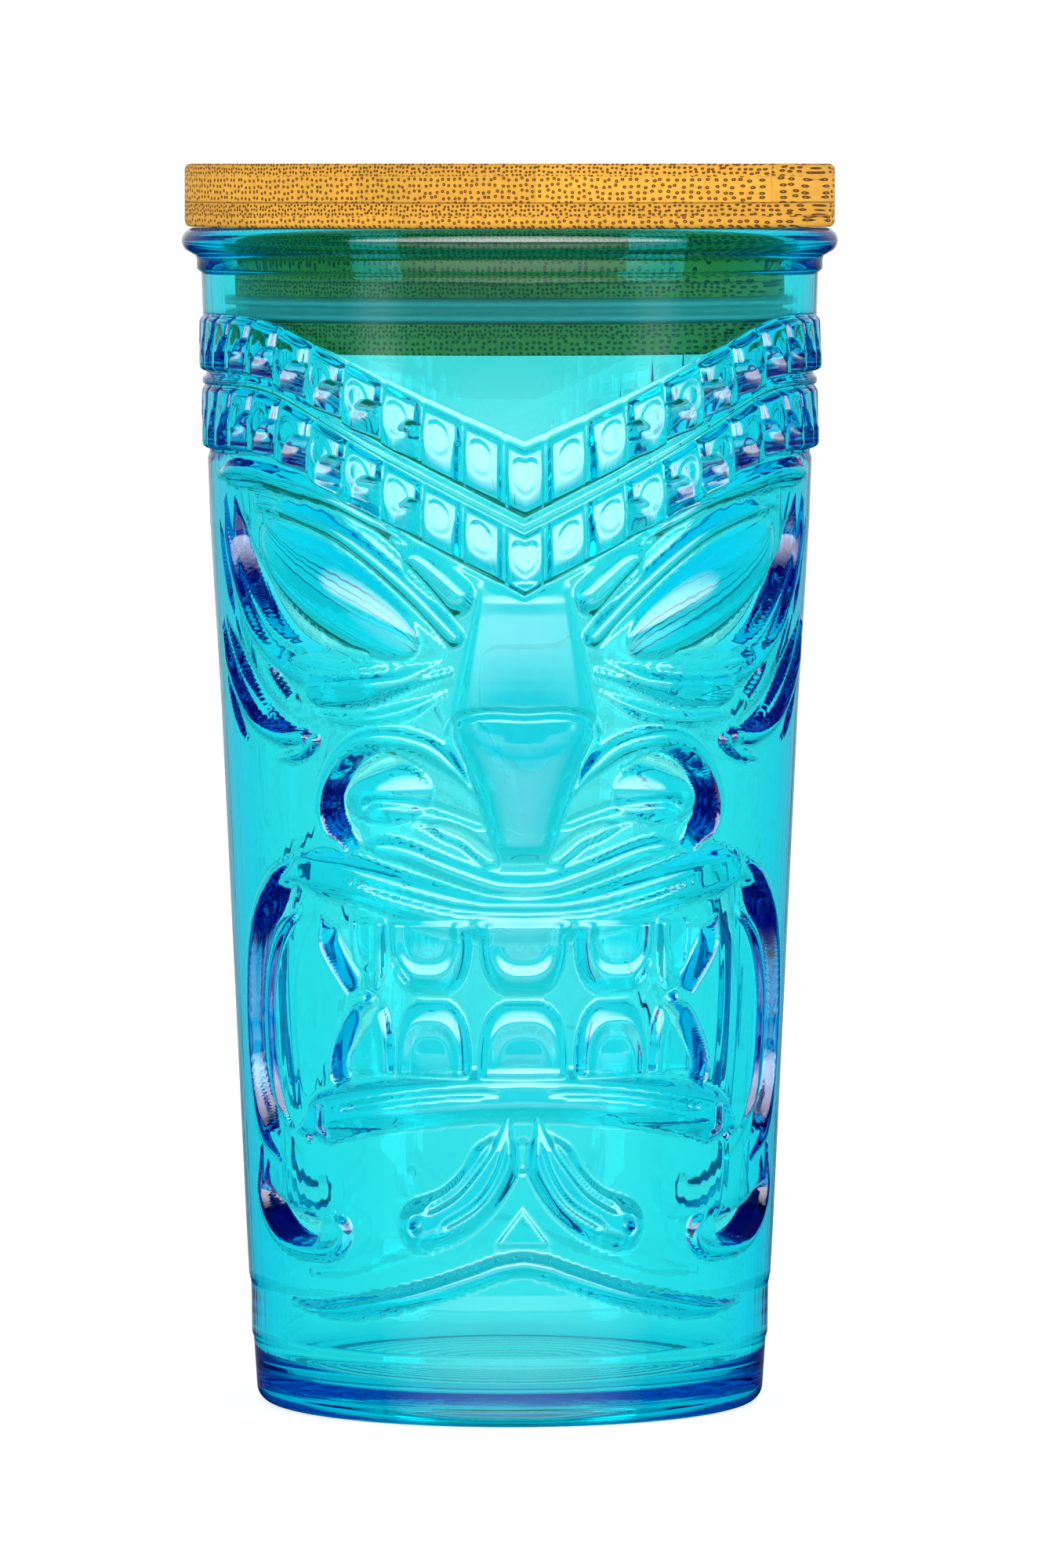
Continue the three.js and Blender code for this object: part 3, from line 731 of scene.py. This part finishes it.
def bamboo_material(name, tone, seed):
    """End-grain pores in section, drawn out along the fibres, finer and denser high in the ply."""
    material, graph, shader = principled(name)
    node, feed_named = graph.node, graph.feed_named
    calculate, greys = graph.calculate, graph.greys

    def combine(*values):
        """A vector with the given components; those left out are 0."""
        new = node("ShaderNodeCombineXYZ")
        graph.feed(new.inputs, values)
        return new.outputs[0]

    def mix(factor, a, b):
        new = node("ShaderNodeMix", data_type="RGBA", blend_type="MIX")
        graph.feed((new.inputs[0], new.inputs[6], new.inputs[7]), (factor, a, b))
        return new.outputs[2]

    turn = node("ShaderNodeVectorRotate", rotation_type="Z_AXIS")
    coords = node("ShaderNodeTexCoord").outputs["Object"]
    feed_named(turn, {"Angle": FIBRE_ANGLE, "Vector": coords})
    parts = node("ShaderNodeSeparateXYZ")
    graph.links.new(turn.outputs[0], parts.inputs[0])
    across, along, up = parts.outputs
    across_seeded = calculate("ADD", across, seed)

    # slow wander of the fibres, so that they aren't ruled lines
    wander = node("ShaderNodeTexNoise", noise_dimensions="2D")
    feed_named(wander, {"Scale": 35, "Vector": combine(along, across_seeded)})
    sway = calculate("SUBTRACT", wander.outputs[0], 0.5)
    across_bent = calculate("MULTIPLY_ADD", sway, 0.0016, across)
    up_bent = calculate("MULTIPLY_ADD", sway, 0.0008, up)

    # Place in the ply, 0 at its bottom and 1 at its top. It counts from 20 plies down, so that it
    # is never negative, and the small shift keeps the lid's flat top inside its ply.
    ply_start = (LID_TOP + 0.04 - 20 * PLY) * MM
    depth = calculate("FRACT", calculate("DIVIDE", calculate("SUBTRACT", up, ply_start), PLY * MM))

    def pores(per_metre, randomness, shape):
        section = combine(
            calculate("MULTIPLY", across_bent, per_metre),
            calculate("MULTIPLY", up_bent, 0.95 * per_metre),
        )
        cells = node("ShaderNodeTexVoronoi", voronoi_dimensions="2D", feature="F1")
        feed_named(cells, {"Scale": 1, "Randomness": randomness, "Vector": section})
        return greys(cells.outputs["Distance"], shape)

    is_fine = greys(depth, FINE_SHARE)
    marks = mix(is_fine, pores(1350, 0.45, COARSE_PORE), pores(1900, 0.5, FINE_PORE))
    # on the lid's flat top the fibres lie in the surface and show only as faint lines
    marks = calculate("MULTIPLY", marks, greys(depth, MARK_SHARE))

    # ground colour: warm straw with faint streaks along the fibres
    section = combine(
        calculate("MULTIPLY", across_seeded, 900),
        calculate("MULTIPLY", up, 900),
        calculate("MULTIPLY", along, 30),
    )
    streak = node("ShaderNodeTexNoise", noise_dimensions="3D")
    feed_named(streak, {"Scale": 1, "Detail": 4, "Vector": section})
    pale = tuple(min(1, c * tone) for c in PALE_WOOD)
    deep = tuple(min(1, c * tone) for c in DEEP_WOOD)
    ground = mix(streak.outputs[0], deep, pale)
    ground = mix(calculate("MULTIPLY", is_fine, 0.35), ground, deep)
    ground = mix(greys(depth, GLUE_SHARE), ground, GLUE_BROWN)

    bump = node("ShaderNodeBump")
    relief = calculate("SUBTRACT", 1, marks)
    feed_named(bump, {"Strength": 0.35, "Distance": 0.00015, "Height": relief})
    feed_named(shader, {
        "Base Color": mix(calculate("MULTIPLY", marks, 0.95), ground, PORE_BROWN),
        "Specular IOR Level": 0.15,
        "Roughness": calculate("ADD", calculate("MULTIPLY", marks, 0.2), 0.45),
        "Normal": bump.outputs[0],
    })
    return material


def slat_edges(joint, radius):
    """Joint lines of a ply inside its radius, in millimetres across the slats."""
    first = joint - SLAT_WIDTH * math.floor((joint + radius) / SLAT_WIDTH)
    return [first + SLAT_WIDTH * k for k in range(5) if first + SLAT_WIDTH * k < radius]


def bamboo_lid():
    """Every slat of every ply, a glue line apart from its neighbours."""
    for ply, (name, radius, joint, outline) in enumerate(PLIES):
        top = LID_TOP - ply * PLY - (GLUE_LINE / 2 if ply else 0)
        bottom = LID_TOP - (ply + 1) * PLY + GLUE_LINE / 2
        joints = slat_edges(joint, radius)
        for k in range(len(joints) + 1):
            low = joints[k - 1] + GLUE_LINE / 2 if k else None
            high = joints[k] - GLUE_LINE / 2 if k < len(joints) else None
            node = f"{name}_{k + 1}"
            tone = SLAT_TONES[(2 * ply + k) % len(SLAT_TONES)]
            mesh = slat_mesh(f"{node}_wood", outline(top, bottom), low, high)
            material = bamboo_material(f"bamboo_{node}", tone, 0.31 * ply + 0.117 * k)
            make_object(f"{node}_wood", mesh, material, "lid", (node,))


# ------------------------------------------------------------------ seal ring

SEAL_GAP = 0.12  # between the fins and the glass
SEAL_BODY = PLUG_RADIUS - 0.4  # radius of the ring without its fins
FIN_ROUND = 0.35
FIN_INSET = 0.75  # of a fin's middle from the end of the ring


def mouth_radius(height):
    """Radius of the glass's tapered inside at a height."""
    share = (height - FLOOR_TOP) / (MOUTH_BOTTOM - FLOOR_TOP)
    return FLOOR_RADIUS + (MOUTH_RADIUS - FLOOR_RADIUS) * share


def seal_outline():
    inner = GROOVE_RADIUS + 0.02
    low, high = GROOVE_BOTTOM + 0.05, GROOVE_TOP - 0.05
    root = SEAL_BODY + 0.2
    outline = [(inner, low), (SEAL_BODY, low)]
    for middle in (low + FIN_INSET, high - FIN_INSET):
        tip = (mouth_radius(middle) - SEAL_GAP - FIN_ROUND, middle)
        outline += [(root, middle - 0.5), *rounded(tip, FIN_ROUND, -80, 80, 6), (root, middle + 0.5)]
    return outline + [(SEAL_BODY, high), (inner, high)]


def seal_ring():
    """A silicone ring with two soft fins, closed on itself."""
    outline = seal_outline()
    n = len(outline)
    points = []
    faces = []
    for k in range(LID_SEGMENTS):
        t = 2 * math.pi * k / LID_SEGMENTS
        points += [(r * MM * math.cos(t), r * MM * math.sin(t), h * MM) for r, h in outline]
        here, there = k * n, (k + 1) % LID_SEGMENTS * n
        for j in range(n):
            after = (j + 1) % n
            faces.append((here + j, there + j, there + after, here + after))
    mesh = bpy.data.meshes.new("seal_ring_body")
    mesh.from_pydata(points, [], faces)
    mesh.shade_smooth()
    mesh.update()
    make_object("seal_ring", mesh, silicone_material(), "lid", ("lid_seal_ring",))


def silicone_material():
    """Milky clear silicone."""
    material, graph, shader = principled("clear_silicone")
    cloud = graph.node("ShaderNodeTexNoise")
    cloud.inputs["Scale"].default_value = 220
    tint = graph.node("ShaderNodeValToRGB")
    tint.color_ramp.elements[0].color = (0.78, 0.82, 0.80, 1)
    tint.color_ramp.elements[1].color = (0.92, 0.94, 0.92, 1)
    graph.links.new(cloud.outputs[0], tint.inputs[0])
    graph.feed_named(shader, {
        "Base Color": tint.outputs[0],
        "Roughness": 0.35,
        "Transmission Weight": 0.35,
        "IOR": 1.41,
    })
    return material


# ------------------------------------------------------------------ stage, light and camera

def floor():
    """A white floor just under the mug; glossy rays don't see it."""
    gap = 0.02 * MM
    bpy.ops.mesh.primitive_plane_add(size=6, location=(0, 0, cad_box[0][2] - gap))
    plane = bpy.context.object
    plane.name = "studio_floor"
    material, graph, shader = principled("floor_white")
    graph.feed_named(shader, {
        "Base Color": (0.4, 0.4, 0.4),
        "Roughness": 0.9,
        "Specular IOR Level": 0.1,
        "Emission Color": (1, 1, 1),
        "Emission Strength": 0.72,
    })
    plane.data.materials.append(material)
    plane.visible_glossy = False


BACKDROP = 1.2  # as the camera sees it
FRONT_LIGHT = 11  # of the white sheets above and around the camera
SIDE_LIGHT = 4  # of the sheets to the left and right of it
# Light against direction, as (component of the direction, level): BACK runs from -1 at the camera
# to 1 behind the mug, UP from -1 straight down to 1 straight up. THROUGH is what shows through the
# glass and the other three are what mirrors in it.
THROUGH_BACK = [(-1, 0.75), (-0.2, 0.65), (0.35, 1), (1, 1)]
FRONT_BACK = [(-0.95, 1), (-0.75, 0.7), (-0.45, 0)]
FRONT_UP = [
    (-1, 0.2), (-0.28, 0.2), (-0.2, 0), (-0.14, 0.1), (-0.094, 0.16), (-0.088, 0.01),
    (0.02, 0.02), (0.17, 1), (0.8, 1),
]
SIDE_BACK = [(-0.74, 0), (-0.62, 1), (-0.54, 1), (-0.42, 0)]
SIDE_UP = [
    (-0.095, 0), (-0.086, 1), (-0.077, 0.1), (0.05, 0.1), (0.2, 1), (0.3, 1), (0.5, 0),
]
REAR_BACK = [(-0.3, 0.03), (0.7, 0.05), (0.95, 0.5), (1, 1)]
REAR_UP = [(-0.16, 0), (-0.05, 0.6), (0.1, 1)]


def world_light():
    """A white studio, brightest behind the mug; what mirrors in the glass is nearly dark low down."""
    world = bpy.data.worlds.new("studio")
    bpy.context.scene.world = world
    graph = ShaderGraph(world)
    node, calculate = graph.node, graph.calculate
    parts = node("ShaderNodeSeparateXYZ")
    graph.links.new(node("ShaderNodeTexCoord").outputs["Generated"], parts.inputs[0])

    def share(axis):
        """The direction's component along an axis, from 0 at -1 to 1 at +1."""
        ranged = node("ShaderNodeMapRange")
        graph.feed_named(ranged, {"From Min": -1, "Value": parts.outputs[axis]})
        return ranged.outputs[0]

    def level(value, stops):
        """A grey level against a share, from stops whose places run from -1 to 1."""
        return graph.greys(value, [(0.5 + 0.5 * place, grey) for place, grey in stops])

    def background(strength):
        shader = node("ShaderNodeBackground")
        graph.feed_named(shader, {"Color": (1, 1, 1), "Strength": strength})
        return shader.outputs[0]

    def choose(factor, off, on):
        new = node("ShaderNodeMixShader")
        graph.feed(new.inputs, (factor, off, on))
        return new.outputs[0]

    back, up = share(1), share(2)
    through = calculate("MULTIPLY", level(back, THROUGH_BACK), 0.97)
    front = calculate("MULTIPLY", level(back, FRONT_BACK), level(up, FRONT_UP))
    sides = calculate("MULTIPLY", level(back, SIDE_BACK), level(up, SIDE_UP))
    rear = calculate("MULTIPLY", level(back, REAR_BACK), level(up, REAR_UP))
    mirrored = calculate("MULTIPLY_ADD", front, FRONT_LIGHT, rear)
    mirrored = calculate("MULTIPLY_ADD", sides, SIDE_LIGHT, mirrored)
    rays = node("ShaderNodeLightPath").outputs
    is_mirror = calculate("MULTIPLY", rays["Is Glossy Ray"], rays["Is Reflection Ray"])
    seen = choose(is_mirror, background(through), background(mirrored))
    seen = choose(rays["Is Camera Ray"], seen, background(BACKDROP))
    graph.links.new(seen, graph.nodes["World Output"].inputs["Surface"])


def softbox(name, azimuth, width, power, distance=1.1, height=0.42, tall=0.85):
    """A soft light that faces the middle of the mug; azimuth 0 is in front (-Y), positive to +X.

    Distance, height and size are in metres.
    """
    light = bpy.data.lights.new(name, "AREA")
    light.shape = "RECTANGLE"
    light.size = width
    light.size_y = tall
    light.energy = power
    obj = bpy.data.objects.new(name, light)
    t = math.radians(azimuth)
    obj.location = (distance * math.sin(t), -distance * math.cos(t), height)
    target = Vector((0, 0, 0.1))
    obj.rotation_euler = (target - obj.location).to_track_quat("-Z", "Y").to_euler()
    obj.visible_glossy = False
    bpy.context.scene.collection.objects.link(obj)


def camera():
    """Level with the lid's top, a little to the left of the face, looking slightly down."""
    distance, azimuth = 1.36, math.radians(-2.7)  # distances in metres
    data = bpy.data.cameras.new("camera")
    data.sensor_fit = "VERTICAL"
    data.sensor_height = 36
    data.lens = 234
    data.clip_start = 0.05
    obj = bpy.data.objects.new("camera", data)
    obj.location = (distance * math.sin(azimuth), -distance * math.cos(azimuth), LID_TOP * MM)
    aim_side, aim_height = 0.0017, 0.0825  # a little right of the mug's middle
    target = Vector((aim_side * math.cos(azimuth), aim_side * math.sin(azimuth), aim_height))
    obj.rotation_euler = (target - obj.location).to_track_quat("-Z", "Y").to_euler()
    bpy.context.scene.collection.objects.link(obj)
    bpy.context.scene.camera = obj


GLASS_BOUNCES = 48


def render_settings():
    """Plain colours, and enough bounces for light to cross both walls of the glass many times."""
    scene = bpy.context.scene
    scene.view_settings.view_transform = "Standard"
    scene.view_settings.look = "None"
    cycles = scene.cycles
    cycles.max_bounces = cycles.transmission_bounces = cycles.glossy_bounces = GLASS_BOUNCES
    cycles.diffuse_bounces = 4
    cycles.transparent_max_bounces = 16
    cycles.sample_clamp_indirect = 4
    cycles.use_denoising = True


# ------------------------------------------------------------------ build

make_object("tumbler_glass", glass_mesh(), glass_material(), "tumbler", ("glass_tumbler",))
bamboo_lid()
seal_ring()
floor()
world_light()
softbox("softbox_left", azimuth=-55, width=0.4, power=4)
softbox("softbox_right", azimuth=54, width=0.5, power=6)
camera()
render_settings()
